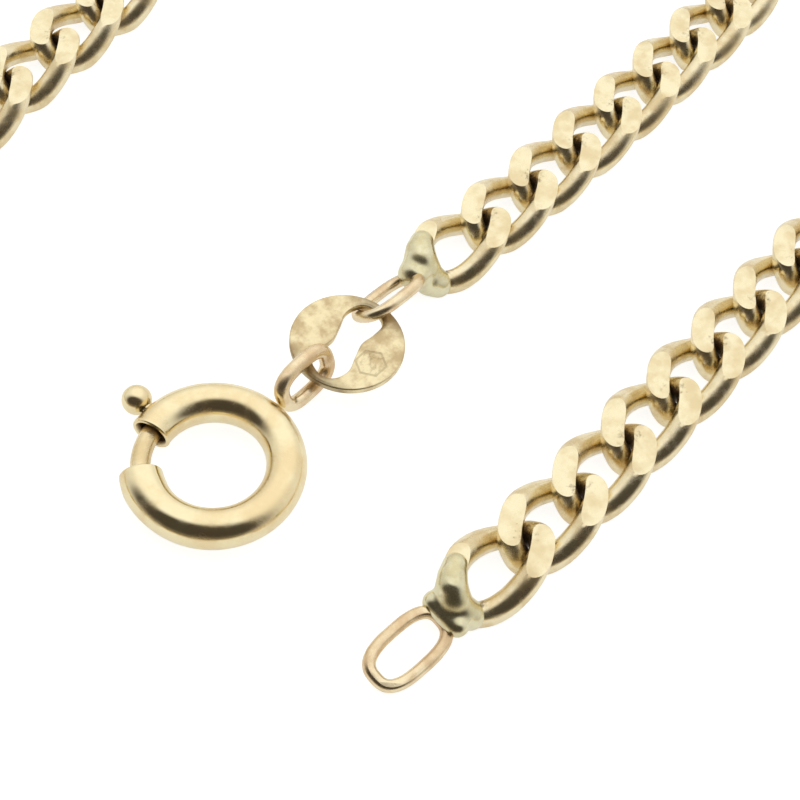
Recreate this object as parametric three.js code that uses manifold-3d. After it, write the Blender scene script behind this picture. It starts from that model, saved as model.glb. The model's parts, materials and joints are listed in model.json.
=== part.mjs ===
// A gentleman's pocket-watch chain in gold, laid out on a table.
// A flat-cut curb chain runs from a sprung bolt ring, through a stamped plate link and a soldered
// end loop, along one long open bend to a second soldered end loop at the tail.
// Units are millimetres, +Z is up and the chain rests on z = 0. The origin is on the table, under
// the middle of the chain's bounding box.

import * as THREE from 'three';
import { mergeVertices } from 'three/addons/utils/BufferGeometryUtils.js';
import Module from 'manifold-3d';

const wasm = await Module();
wasm.setup();

// ---------- driving dimensions ----------

// Curb link: an oval of round wire, twisted along its length, its top and bottom cut flat.
const LINK_PITCH = 4.8;
const LINK_WIRE = 1.55;
const LINK_PLAY = 0.2;
const LINK_LENGTH = LINK_PITCH + 2 * LINK_WIRE + LINK_PLAY;
const LINK_WIDTH = 5.4;
const LINK_TWIST = 48;
const LINK_HALF_HEIGHT = 1.1;
const LINK_SQUARENESS = 2.6;
const LINK_FACETS = { steps: 16, sides: 6 };

// Away from the two ends of the chain the links are joined in threes, by a bead where they rub.
const GROUP_SIZE = 3;
const GROUP_FACETS = { steps: 12, sides: 5 };
const BEAD_RADIUS = 0.3;

// How the links are shared out, from the bolt ring to the tail.
const STRETCHES = [
  { singles: 10, groups: 5 },
  { singles: 6, groups: 13 },
  { singles: 10, groups: 0 },
];

// Where the chain lies: points chosen along its middle line, from the first curb link to the last.
const ROUTE = [
  [0.8, 10.1], [6.5, 17.9], [11.8, 25.9], [16.9, 34], [21.8, 42.4],
  [24.6, 52], [22.8, 61], [16.2, 68], [6.7, 70.8], [-3, 68.4], [-9.8, 61.5],
  [-13.4, 53.6], [-17.6, 44.7], [-21.9, 35.6], [-26.3, 26.5], [-30.7, 17.4],
  [-34, 8.4], [-35.2, -1.2], [-33.4, -10.8], [-29, -19.8], [-22.4, -27.8], [-13.8, -33.3],
  [-4.2, -35.5], [5.6, -35.1], [15.4, -33.5], [25, -30.7], [34, -26.2],
  [42, -19.8], [48.8, -12.4], [54, -3.8], [57, 4.4], [57.9, 12.1],
  [55.8, 20.1], [49.9, 26], [41.9, 28.2], [34.6, 25.9], [27.6, 19],
  [22, 10.7], [16.7, 2.8], [11.4, -5.2], [5.1, -13.5],
];
const ROUTE_SAMPLES = 20000;

// A round wire or tube has four times this many sides.
const TUBE_QUARTER = 5;
const WIRE_QUARTER = 4;
const FINE_WIRE_QUARTER = 2;

// Bolt ring: a hollow C of tube, a sprung tongue that closes its gap, and the ball that draws it.
const RING_CENTRE = [-10.2, -7.3];
const RING_DIAMETER = 11;
const RING_TUBE = 2.44;
const RING_BORE = 1.7;
const RING_RADIUS = (RING_DIAMETER - RING_TUBE) / 2;
const RING_STEPS = 26;
const MOUTH_ANGLE = 162;
const HEEL_ANGLE = 200;
const TONGUE_WIRE = 1.3;
const TONGUE_TIP_ANGLE = HEEL_ANGLE + 4;
const TONGUE_TAIL_ANGLE = 100;
const TONGUE_TRAVEL = 32;
const TONGUE_STEPS = 14;
const BALL_ANGLE = 147;
const BALL_DIAMETER = 1.85;
const BALL_REACH = 6.45;
const BALL_SIDES = 12;
const BALL_ARC_POINTS = 7;
const STEM_DIAMETER = 0.7;
const STEM_FOOT = 5;
const SLOT_WIDTH = 1;
const SLOT_MARGIN = 7;
const SPRING_WIRE = 0.18;
const SPRING_COIL = 1.15;
const SPRING_TURNS = 8;
const SPRING_END_GAP = 3;
const SPRING_STEPS_A_TURN = 8;
const STOP_ANGLE = 36;
const STOP_SPAN = 10;
const STOP_STEPS = 2;
const STOP_PLAY = 0.1;

// Loop between the bolt ring and the plate link: an upright oval of round wire.
const RING_LOOP_ANGLE = 58;
const RING_LOOP_LENGTH = 4.9;
const RING_LOOP_WIDTH = 3.3;
const RING_LOOP_WIRE = 0.95;
const RING_LOOP_ROLL = 68;

// Stamped plate link: a round plate with an S-shaped opening, listed as half of its outline.
const PLATE_CENTRE = [-3.8, 2.5];
const PLATE_HEADING = 57;
const PLATE_LENGTH = 7.1;
const PLATE_WIDTH = 7.3;
const PLATE_THICKNESS = 0.5;
const PLATE_LIFT = 1.32;
const PLATE_OPENING = [
  [-2.95, -0.35], [-2.5, 0.7], [-1.5, 0.85], [-0.5, 0.75], [0.5, 1.1], [1.6, 1.5], [2.6, 1.2],
];
const PLATE_OPENING_STEPS = 28;
const PLATE_RIM_STEPS = 14;

// End loops, each soldered to the outer end of a curb link.
const CLASP_LOOP_LENGTH = 5.3;
const CLASP_LOOP_WIDTH = 3.8;
const CLASP_LOOP_WIRE = 0.8;
const CLASP_LOOP_ROLL = -45;
const TAIL_LOOP_LENGTH = 5.9;
const TAIL_LOOP_WIDTH = 3.4;
const TAIL_LOOP_WIRE = 0.78;
const TAIL_LOOP_ROLL = 12;
const LOOP_SQUARENESS = 2.8;
const LOOP_FACETS = { steps: 20, sides: 8 };
const JOINT_GAP = 0.06;
const SOLDER_SIZE = [1.3, 1.2, 0.95];
const SOLDER_LIFT = 1.3;
const SOLDER_CLEARANCE = 0.12;
const SOLDER_FACETS = [14, 10];

// ---------- materials ----------

const GOLD = { color: 0xe8cf96, roughness: 0.22, metalness: 1 };
const PALE_SOLDER = { color: 0xd6c898, roughness: 0.34, metalness: 1 };
const SPRING_STEEL = { color: 0x9a968c, roughness: 0.3, metalness: 1 };

// ---------- small helpers ----------

const radians = THREE.MathUtils.degToRad;
const signedPower = (value, power) => Math.sign(value) * Math.abs(value) ** power;

function positionsOnly(geometry) {
  const bare = geometry.clone();
  bare.deleteAttribute('normal');
  bare.deleteAttribute('uv');
  return mergeVertices(bare);
}

function toSolid(geometry) {
  const bare = positionsOnly(geometry);
  const vertProperties = new Float32Array(bare.attributes.position.array);
  const triVerts = new Uint32Array(bare.index.array);
  return new wasm.Manifold(new wasm.Mesh({ numProp: 3, vertProperties, triVerts }));
}

function toGeometry(solid) {
  const { vertProperties, triVerts } = solid.getMesh();
  const geometry = new THREE.BufferGeometry();
  geometry.setAttribute('position', new THREE.BufferAttribute(vertProperties, 3));
  geometry.setIndex(new THREE.BufferAttribute(triVerts, 1));
  geometry.computeVertexNormals();
  return geometry;
}

function largestPiece(solid) {
  const pieces = solid.decompose();
  pieces.sort((one, other) => other.volume() - one.volume());
  return pieces[0];
}

// A placement: x, y, z of the middle, the heading about Z and the roll about the piece's own length.
function placement([x, y, z], heading, roll = 0) {
  const matrix = new THREE.Matrix4().makeRotationZ(heading);
  matrix.multiply(new THREE.Matrix4().makeRotationX(roll));
  return matrix.setPosition(x, y, z);
}

const chain = new THREE.Group();
chain.name = 'pocket_watch_chain';

function addPiece(name, geometry, finish, matrix = new THREE.Matrix4()) {
  const mesh = new THREE.Mesh(geometry, new THREE.MeshStandardMaterial(finish));
  mesh.name = name;
  mesh.applyMatrix4(matrix);
  chain.add(mesh);
}

// ---------- wire loops ----------

// Every loop starts as a round ring of wire. Each point of the ring keeps its place in the wire's
// section and moves out to a squared oval, then turns about the X axis by the local twist, and
// last is held between the two flats.
function loopGeometry({ length, width, wire, squareness, facets, twist = 0, halfHeight = Infinity }) {
  const ringRadius = length;
  const halfLength = (length - wire) / 2;
  const halfWidth = (width - wire) / 2;
  const geometry = new THREE.TorusGeometry(ringRadius, wire / 2, facets.sides, facets.steps);
  const points = geometry.attributes.position;
  for (let i = 0; i < points.count; i += 1) {
    const around = Math.atan2(points.getY(i), points.getX(i));
    const outward = Math.hypot(points.getX(i), points.getY(i)) - ringRadius;
    const across = points.getZ(i);
    const cos = Math.cos(around);
    const sin = Math.sin(around);
    const normal = new THREE.Vector2(
      signedPower(cos, 2 - 2 / squareness) / halfLength,
      signedPower(sin, 2 - 2 / squareness) / halfWidth,
    ).normalize();
    const x = halfLength * signedPower(cos, 2 / squareness) + outward * normal.x;
    const y = halfWidth * signedPower(sin, 2 / squareness) + outward * normal.y;
    const turn = -radians(twist) * THREE.MathUtils.clamp(x / halfLength, -1, 1);
    const side = y * Math.cos(turn) - across * Math.sin(turn);
    const up = y * Math.sin(turn) + across * Math.cos(turn);
    points.setXYZ(i, x, side, THREE.MathUtils.clamp(up, -halfHeight, halfHeight));
  }
  geometry.computeVertexNormals();
  return geometry;
}

function curbLink(facets, extraWire = 0) {
  return loopGeometry({
    length: LINK_LENGTH + extraWire,
    width: LINK_WIDTH + extraWire,
    wire: LINK_WIRE + extraWire,
    squareness: LINK_SQUARENESS,
    facets,
    twist: LINK_TWIST,
    halfHeight: LINK_HALF_HEIGHT + extraWire / 2,
  });
}

function endLoop(length, width, wire, extraWire = 0) {
  return loopGeometry({
    length: length + extraWire,
    width: width + extraWire,
    wire: wire + extraWire,
    squareness: LOOP_SQUARENESS,
    facets: LOOP_FACETS,
  });
}

// ---------- the route and the curb links on it ----------

// Walks the route and marks a rub point each time it is one pitch away from the last one, so
// that every link spans exactly one pitch however the route bends.
function rubPoints() {
  const corners = ROUTE.map(([x, y]) => new THREE.Vector3(x, y, LINK_HALF_HEIGHT));
  const route = new THREE.CatmullRomCurve3(corners, false, 'centripetal');
  route.arcLengthDivisions = ROUTE_SAMPLES;
  const marks = [corners[0]];
  for (const point of route.getSpacedPoints(ROUTE_SAMPLES)) {
    const last = marks[marks.length - 1];
    const away = point.distanceTo(last);
    if (away >= LINK_PITCH) {
      marks.push(point.clone().sub(last).multiplyScalar(LINK_PITCH / away).add(last));
    }
  }
  return marks;
}

const rubs = rubPoints();
const linkCount = rubs.length - 1;

function linkPlace(index) {
  const from = rubs[index];
  const to = rubs[index + 1];
  const middle = from.clone().add(to).multiplyScalar(0.5);
  const heading = Math.atan2(to.y - from.y, to.x - from.x);
  return { middle, heading, matrix: placement(middle.toArray(), heading) };
}

const twoDigits = (number) => String(number).padStart(2, '0');

function addSingleLink(index) {
  addPiece(`link_${twoDigits(index + 1)}`, curbLink(LINK_FACETS), GOLD, linkPlace(index).matrix);
}

function addLinkGroup(first) {
  const bead = new THREE.IcosahedronGeometry(BEAD_RADIUS);
  let solid = toSolid(curbLink(GROUP_FACETS).applyMatrix4(linkPlace(first).matrix));
  for (let index = first + 1; index < first + GROUP_SIZE; index += 1) {
    const { x, y, z } = rubs[index];
    solid = solid.add(toSolid(bead.clone().translate(x, y, z)));
    solid = solid.add(toSolid(curbLink(GROUP_FACETS).applyMatrix4(linkPlace(index).matrix)));
  }
  const last = first + GROUP_SIZE;
  addPiece(`links_${twoDigits(first + 1)}_to_${twoDigits(last)}`, toGeometry(solid), GOLD);
}

// Each joint is a rub point: its place and the level axis across the chain there.
const joints = [];

function addJoint(index) {
  const before = linkPlace(index - 1).heading;
  const after = linkPlace(index).heading;
  const across = (before + after) / 2 + Math.PI / 2;
  joints.push({ place: rubs[index], axis: [Math.cos(across), Math.sin(across), 0] });
}

let nextLink = 0;
for (const { singles, groups } of STRETCHES) {
  for (let count = 0; count < singles; count += 1) {
    if (nextLink > 0) addJoint(nextLink);
    addSingleLink(nextLink);
    nextLink += 1;
  }
  for (let count = 0; count < groups; count += 1) {
    addJoint(nextLink);
    addLinkGroup(nextLink);
    nextLink += GROUP_SIZE;
  }
}

// ---------- bolt ring ----------

// A stretch of the ring's middle circle, between two angles in degrees.
class RingArc extends THREE.Curve {
  constructor(from, to) {
    super();
    this.from = from;
    this.to = to;
  }

  getPoint(t) {
    const angle = radians(THREE.MathUtils.lerp(this.from, this.to, t));
    return new THREE.Vector3(RING_RADIUS * Math.cos(angle), RING_RADIUS * Math.sin(angle), 0);
  }
}

// A coil wound round such a stretch.
class RingCoil extends RingArc {
  getPoint(t) {
    const middle = super.getPoint(t);
    const outward = middle.clone().normalize();
    const turn = 2 * Math.PI * SPRING_TURNS * t;
    const reach = (SPRING_COIL / 2) * Math.cos(turn);
    const rise = (SPRING_COIL / 2) * Math.sin(turn);
    return middle.addScaledVector(outward, reach).add(new THREE.Vector3(0, 0, rise));
  }
}

function disc(diameter, boreDiameter = 0) {
  const shape = new THREE.Shape().absarc(0, 0, diameter / 2, 0, 2 * Math.PI);
  if (boreDiameter > 0) {
    shape.holes.push(new THREE.Path().absarc(0, 0, boreDiameter / 2, 0, 2 * Math.PI));
  }
  return shape;
}

function sweep(shape, extrudePath, steps, curveSegments) {
  return new THREE.ExtrudeGeometry(shape, { steps, extrudePath, curveSegments, bevelEnabled: false });
}

// A flat sector of a ring, centred on z = 0, for the slot that the ball's stem runs in.
function ringSector(inner, outer, from, to, thickness) {
  const shape = new THREE.Shape();
  shape.absarc(0, 0, outer, radians(from), radians(to), false);
  shape.absarc(0, 0, inner, radians(to), radians(from), true);
  shape.closePath();
  const solid = new THREE.ExtrudeGeometry(shape, { depth: thickness, bevelEnabled: false });
  return solid.translate(0, 0, -thickness / 2);
}

const ringPlace = placement([...RING_CENTRE, RING_TUBE / 2], 0);

function ringTube() {
  const round = new RingArc(MOUTH_ANGLE, HEEL_ANGLE - 360);
  const tube = toSolid(sweep(disc(RING_TUBE, RING_BORE), round, RING_STEPS, TUBE_QUARTER));
  const slotFrom = BALL_ANGLE - TONGUE_TRAVEL - SLOT_MARGIN;
  const slotTo = BALL_ANGLE + SLOT_MARGIN;
  const slot = ringSector(RING_RADIUS, RING_DIAMETER, slotFrom, slotTo, SLOT_WIDTH);
  return toGeometry(tube.subtract(toSolid(slot)));
}

function thumbBall() {
  const stemRadius = STEM_DIAMETER / 2;
  const ballRadius = BALL_DIAMETER / 2;
  const ballFrom = Math.asin(stemRadius / ballRadius);
  const profile = [new THREE.Vector2(0, STEM_FOOT), new THREE.Vector2(stemRadius, STEM_FOOT)];
  for (let i = 0; i < BALL_ARC_POINTS; i += 1) {
    const angle = THREE.MathUtils.lerp(ballFrom, Math.PI, i / BALL_ARC_POINTS);
    const height = BALL_REACH - ballRadius * Math.cos(angle);
    profile.push(new THREE.Vector2(ballRadius * Math.sin(angle), height));
  }
  profile.push(new THREE.Vector2(0, BALL_REACH + ballRadius));
  return new THREE.LatheGeometry(profile, BALL_SIDES).rotateZ(radians(BALL_ANGLE) - Math.PI / 2);
}

addPiece('bolt_ring_tube', ringTube(), GOLD, ringPlace);

const tongueArc = new RingArc(TONGUE_TIP_ANGLE, TONGUE_TAIL_ANGLE);
const tongueWire = sweep(disc(TONGUE_WIRE), tongueArc, TONGUE_STEPS, WIRE_QUARTER);
addPiece('bolt_ring_tongue', tongueWire, GOLD, ringPlace);
addPiece('bolt_ring_thumb_ball', thumbBall(), GOLD, ringPlace);

const springArc = new RingCoil(TONGUE_TAIL_ANGLE - SPRING_END_GAP, STOP_ANGLE + SPRING_END_GAP);
const springSteps = SPRING_STEPS_A_TURN * SPRING_TURNS;
const springWire = sweep(disc(SPRING_WIRE), springArc, springSteps, FINE_WIRE_QUARTER);
addPiece('bolt_ring_spring', springWire, SPRING_STEEL, ringPlace);

const stopArc = new RingArc(STOP_ANGLE, STOP_ANGLE - STOP_SPAN);
const stopDiameter = RING_BORE - 2 * STOP_PLAY;
const stopWire = sweep(disc(stopDiameter), stopArc, STOP_STEPS, WIRE_QUARTER);
addPiece('bolt_ring_spring_stop', stopWire, GOLD, ringPlace);

// ---------- plate link and loops ----------

// The point at a distance from another, along a heading, at a given height.
function along([x, y], distance, heading, z) {
  return [x + distance * Math.cos(heading), y + distance * Math.sin(heading), z];
}

// How high the middle of a rolled loop lies when its lower rail touches the table.
function restHeight(width, wire, roll) {
  return ((width - wire) / 2) * Math.abs(Math.sin(roll)) + wire / 2;
}

const ringLoopHeading = radians(RING_LOOP_ANGLE);
const ringLoopRoll = radians(RING_LOOP_ROLL);
const ringLoopReach = RING_DIAMETER / 2 + JOINT_GAP + RING_LOOP_LENGTH / 2;
const ringLoopHeight = restHeight(RING_LOOP_WIDTH, RING_LOOP_WIRE, ringLoopRoll);
const ringLoopMiddle = along(RING_CENTRE, ringLoopReach, ringLoopHeading, ringLoopHeight);
addPiece(
  'bolt_ring_loop',
  endLoop(RING_LOOP_LENGTH, RING_LOOP_WIDTH, RING_LOOP_WIRE),
  GOLD,
  placement(ringLoopMiddle, ringLoopHeading, ringLoopRoll),
);

function plateLink() {
  const shape = new THREE.Shape().absellipse(0, 0, PLATE_LENGTH / 2, PLATE_WIDTH / 2, 0, 2 * Math.PI);
  const half = PLATE_OPENING.map(([x, y]) => new THREE.Vector2(x, y));
  const otherHalf = half.map((point) => point.clone().negate());
  const outline = new THREE.CatmullRomCurve3(
    [...half, ...otherHalf].map(({ x, y }) => new THREE.Vector3(x, y, 0)),
    true,
  );
  const around = outline.getPoints(PLATE_OPENING_STEPS).slice(0, -1);
  const openingPoints = around.map(({ x, y }) => new THREE.Vector2(x, y));
  shape.holes.push(new THREE.Path(openingPoints));
  return new THREE.ExtrudeGeometry(shape, {
    depth: PLATE_THICKNESS, bevelEnabled: false, curveSegments: PLATE_RIM_STEPS,
  });
}

const plateHeading = radians(PLATE_HEADING);
addPiece('plate_link', plateLink(), GOLD, placement([...PLATE_CENTRE, PLATE_LIFT], plateHeading));

// An end loop lies outside the first or the last link, with its inner end against that link.
function outerLoop(linkIndex, outward, { length, width, wire, roll }) {
  const { middle, heading } = linkPlace(linkIndex);
  const facing = outward < 0 ? heading + Math.PI : heading;
  const reach = LINK_LENGTH / 2 + JOINT_GAP + length / 2;
  const height = restHeight(width, wire, radians(roll));
  const centre = along([middle.x, middle.y], reach, facing, height);
  const matrix = placement(centre, heading, radians(roll));
  const atJoint = along([middle.x, middle.y], LINK_LENGTH / 2, facing, SOLDER_LIFT);
  return { matrix, heading, atJoint, size: [length, width, wire] };
}

// Solder is a rounded lump over the joint, with room cut in it for the loop and the link.
function solderLump(linkIndex, loop) {
  const lump = new THREE.SphereGeometry(1, ...SOLDER_FACETS);
  lump.scale(...SOLDER_SIZE).applyMatrix4(placement(loop.atJoint, loop.heading));
  const link = curbLink(LINK_FACETS, SOLDER_CLEARANCE).applyMatrix4(linkPlace(linkIndex).matrix);
  const wire = endLoop(...loop.size, SOLDER_CLEARANCE).applyMatrix4(loop.matrix);
  return toGeometry(largestPiece(toSolid(lump).subtract(toSolid(link)).subtract(toSolid(wire))));
}

const claspLoop = outerLoop(0, -1, {
  length: CLASP_LOOP_LENGTH, width: CLASP_LOOP_WIDTH, wire: CLASP_LOOP_WIRE, roll: CLASP_LOOP_ROLL,
});
addPiece('clasp_end_loop', endLoop(...claspLoop.size), GOLD, claspLoop.matrix);
addPiece('clasp_end_solder', solderLump(0, claspLoop), PALE_SOLDER);

const tailLoop = outerLoop(linkCount - 1, 1, {
  length: TAIL_LOOP_LENGTH, width: TAIL_LOOP_WIDTH, wire: TAIL_LOOP_WIRE, roll: TAIL_LOOP_ROLL,
});
addPiece('tail_end_loop', endLoop(...tailLoop.size), GOLD, tailLoop.matrix);
addPiece('tail_end_solder', solderLump(linkCount - 1, tailLoop), PALE_SOLDER);

// ---------- origin ----------

// Everything moves so that the bounding box is centred over the origin, standing on z = 0.
const box = new THREE.Box3().setFromObject(chain, true);
const centre = box.getCenter(new THREE.Vector3());
chain.position.set(-centre.x, -centre.y, -box.min.z);

// Each joint's place and axis in the finished frame.
chain.userData.joints = joints.map(({ place, axis }) => ({
  place: place.clone().add(chain.position).toArray(),
  axis,
}));

export default chain;
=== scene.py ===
# %% [markdown]
# # A gold pocket-watch chain
#
# A watch chain is hundreds of small wires that all catch the light in their own way. The CAD model
# already says where each link lies and how it moves, so this lesson never moves anything. It only
# puts a finely shaped, finely finished piece in the place of each plain CAD solid.

# %% Load the frame
import json
import math
import re

import bpy
import numpy as np
from mathutils import Matrix, Vector

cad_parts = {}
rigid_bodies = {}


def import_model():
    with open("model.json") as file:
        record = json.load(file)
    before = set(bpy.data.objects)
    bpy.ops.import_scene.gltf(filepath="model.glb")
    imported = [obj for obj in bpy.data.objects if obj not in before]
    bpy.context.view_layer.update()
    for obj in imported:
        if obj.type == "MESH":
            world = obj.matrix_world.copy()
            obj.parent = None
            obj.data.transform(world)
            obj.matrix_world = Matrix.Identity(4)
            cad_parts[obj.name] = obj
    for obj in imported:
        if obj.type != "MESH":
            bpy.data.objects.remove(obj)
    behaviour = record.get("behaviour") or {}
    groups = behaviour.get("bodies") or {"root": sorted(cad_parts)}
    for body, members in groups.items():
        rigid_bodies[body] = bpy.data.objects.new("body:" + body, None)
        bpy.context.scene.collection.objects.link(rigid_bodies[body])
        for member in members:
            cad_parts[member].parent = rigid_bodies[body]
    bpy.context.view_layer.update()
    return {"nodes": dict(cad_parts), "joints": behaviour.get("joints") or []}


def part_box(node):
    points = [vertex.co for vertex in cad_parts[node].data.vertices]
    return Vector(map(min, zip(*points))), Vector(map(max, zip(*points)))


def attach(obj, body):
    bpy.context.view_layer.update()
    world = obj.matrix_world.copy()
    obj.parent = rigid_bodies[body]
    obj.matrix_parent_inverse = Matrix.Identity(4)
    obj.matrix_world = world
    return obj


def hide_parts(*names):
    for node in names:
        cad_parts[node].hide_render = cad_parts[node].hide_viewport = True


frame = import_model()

MM = 0.001

# %% [markdown]
# ## Where the links lie
#
# Neighbouring links rub at one point, and the CAD model has a joint there. So the joints give both
# ends of almost every link. The outer end of the first and of the last link is its inner end,
# mirrored through the link's middle. The links that the CAD model joins in threes lie on a short
# arc between two rub points: three chords of one pitch each, bulging to the side where most of the
# node's own points are.

# %% Find the ends of every link
joint_at = {joint["name"]: Vector(joint["pos_m"]) for joint in frame["joints"]}
rub_between = {
    frozenset((joint["parent"], joint["child"])): Vector(joint["pos_m"])
    for joint in frame["joints"]
}
link_nodes = sorted(
    (name for name in frame["nodes"] if re.match(r"links?_\d", name)),
    key=lambda name: int(re.search(r"\d+", name).group()),
)
PITCH = (rub_between[frozenset(link_nodes[0:2])] - rub_between[frozenset(link_nodes[1:3])]).length


def middle_of(node):
    low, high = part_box(node)
    return (low + high) / 2


def end_rubs(index):
    """The two rub points at the ends of a node, towards the bolt ring first."""
    before = rub_between.get(frozenset(link_nodes[max(index - 1, 0):index + 1]))
    after = rub_between.get(frozenset(link_nodes[index:index + 2]))
    middle = middle_of(link_nodes[index])
    if before is None:
        before = 2 * middle - after
    if after is None:
        after = 2 * middle - before
    return before, after


def rubs_along(index):
    """Every rub point of a node: two for a single link, four for three joined links."""
    start, end = end_rubs(index)
    if not link_nodes[index].startswith("links"):
        return [start, end]
    chord = end - start
    forward = chord.normalized()
    sideways = Vector((-forward.y, forward.x, 0))
    step = (chord.length - PITCH) / 2
    bulge = math.sqrt(max(PITCH**2 - step**2, 0))
    points = [vertex.co for vertex in frame["nodes"][link_nodes[index]].data.vertices]
    weight = sum(((point - start).dot(sideways) for point in points), 0.0)
    shift = sideways * math.copysign(bulge, weight)
    return [start, start + forward * step + shift, end - forward * step + shift, end]


link_rubs = {node: rubs_along(index) for index, node in enumerate(link_nodes)}
print(f"{sum(len(r) - 1 for r in link_rubs.values())} links, pitch {PITCH / MM:.2f} mm")

# %% [markdown]
# ## The camera
#
# The chain is seen from close by and from above, with a long lens on a small subject. The camera is
# made first, so that every later step can be looked at. It is placed from the bolt ring's centre,
# which is where the tongue's joint turns.

# %% Make the camera
RING_CENTRE = joint_at["tongue_draw"]
VIEW_FROM_RING = Vector((10.2, 7.3, -1.22)) * MM
VIEW_DISTANCE = 94.4 * MM
VIEW_ELEVATION = math.radians(57.2)
VIEW_ROLL = math.radians(9.2)
LENS = 68.4


def make_camera():
    target = RING_CENTRE + VIEW_FROM_RING
    back = Vector((0, -math.cos(VIEW_ELEVATION), math.sin(VIEW_ELEVATION)))
    camera = bpy.data.objects.new("camera", bpy.data.cameras.new("camera"))
    camera.data.lens = LENS
    camera.data.clip_start = MM
    camera.data.clip_end = 10
    level = (-back).to_track_quat("-Z", "Y").to_matrix().to_4x4()
    stand = Matrix.Translation(target + back * VIEW_DISTANCE)
    camera.matrix_world = stand @ level @ Matrix.Rotation(VIEW_ROLL, 4, "Z")
    bpy.context.scene.collection.objects.link(camera)
    bpy.context.scene.camera = camera
    return camera


camera = make_camera()
print("camera at", [round(value / MM, 1) for value in camera.location], "mm")

# %% [markdown]
# ## A helper for node trees
#
# Materials, Geometry Nodes and the world are all node trees. Writing each node in full takes many
# lines, so `add` makes a node, sets its own settings, and fills its inputs with values or with
# other nodes' outputs.

# %% Node helpers
def add(tree, kind, inputs=(), **settings):
    """Adds a node. inputs maps a socket's name or number to a value or to another node's output."""
    node = tree.nodes.new(kind)
    for key, value in settings.items():
        setattr(node, key, value)
    for socket, value in dict(inputs).items():
        if isinstance(value, bpy.types.NodeSocket):
            tree.links.new(value, node.inputs[socket])
        else:
            node.inputs[socket].default_value = value
    return node


def calc(tree, operation, *values):
    """One Math node, given back as its output."""
    return add(tree, "ShaderNodeMath", enumerate(values), operation=operation).outputs[0]


def vector_calc(tree, operation, *values):
    node = add(tree, "ShaderNodeVectorMath", enumerate(values), operation=operation)
    return node.outputs["Value" if operation in ("LENGTH", "DISTANCE", "DOT_PRODUCT") else "Vector"]


def blend(tree, factor, first, second):
    """Mixes two colours."""
    node = tree.nodes.new("ShaderNodeMix")
    node.data_type = "RGBA"
    for socket, value in ((node.inputs[0], factor), (node.inputs[6], first), (node.inputs[7], second)):
        if isinstance(value, bpy.types.NodeSocket):
            tree.links.new(value, socket)
        else:
            socket.default_value = value
    return node.outputs[2]


def ramp(tree, value, low, high, to_low=0.0, to_high=1.0):
    """A smooth step from to_low to to_high as value goes from low to high."""
    return add(
        tree, "ShaderNodeMapRange",
        {"Value": value, "From Min": low, "From Max": high, "To Min": to_low, "To Max": to_high},
        interpolation_type="SMOOTHSTEP",
    ).outputs["Result"]


def noise(tree, place, scale, detail, roughness=0.5):
    """One Noise Texture node, given back as its value."""
    inputs = {"Vector": place, "Scale": scale, "Detail": detail, "Roughness": roughness}
    return add(tree, "ShaderNodeTexNoise", inputs).outputs[0]


def drawn_out(tree, place, turn, scale):
    """A place that is turned and stretched, so that a pattern on it is drawn out into lines."""
    inputs = {"Vector": place, "Rotation": turn, "Scale": scale}
    return add(tree, "ShaderNodeMapping", inputs).outputs[0]


def new_tree(kind, name, inputs, outputs):
    """An empty node group with named sockets; inputs are (name, kind, default)."""
    tree = bpy.data.node_groups.new(name, kind)
    for socket_name, socket_kind, default in inputs:
        socket = tree.interface.new_socket(socket_name, in_out="INPUT", socket_type=socket_kind)
        if default is not None:
            socket.default_value = default
    for socket_name, socket_kind in outputs:
        tree.interface.new_socket(socket_name, in_out="OUTPUT", socket_type=socket_kind)
    return tree, tree.nodes.new("NodeGroupInput").outputs, tree.nodes.new("NodeGroupOutput").inputs


# %% [markdown]
# ## Wear that every gold part shares
#
# Gold jewellery is soft, so it's never a perfect mirror. Handling leaves hair-fine scratches in
# every direction, tiny dents, and cloudy patches where the polish has dulled. Each of these is a
# noise pattern, and all of them go in one node group, so that every finish can take its own amount.
# The group works in millimetres and puts out masks and a height, which the material then uses.

# %% Build the wear group
# Each direction is a turn about the three axes, and how far the noise is drawn out into a line.
SCRATCH_DIRECTIONS = (((0.2, 0.1, 0.5), 14.0), ((0.5, -0.3, 2.0), 18.0), ((-0.3, 0.6, 1.2), 11.0))
SCRATCH_DEPTH = 0.22
DENTS_PER_MM = 1.9
DENT_DEPTH = 0.5
RIPPLE_HEIGHT = 1.6


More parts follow.
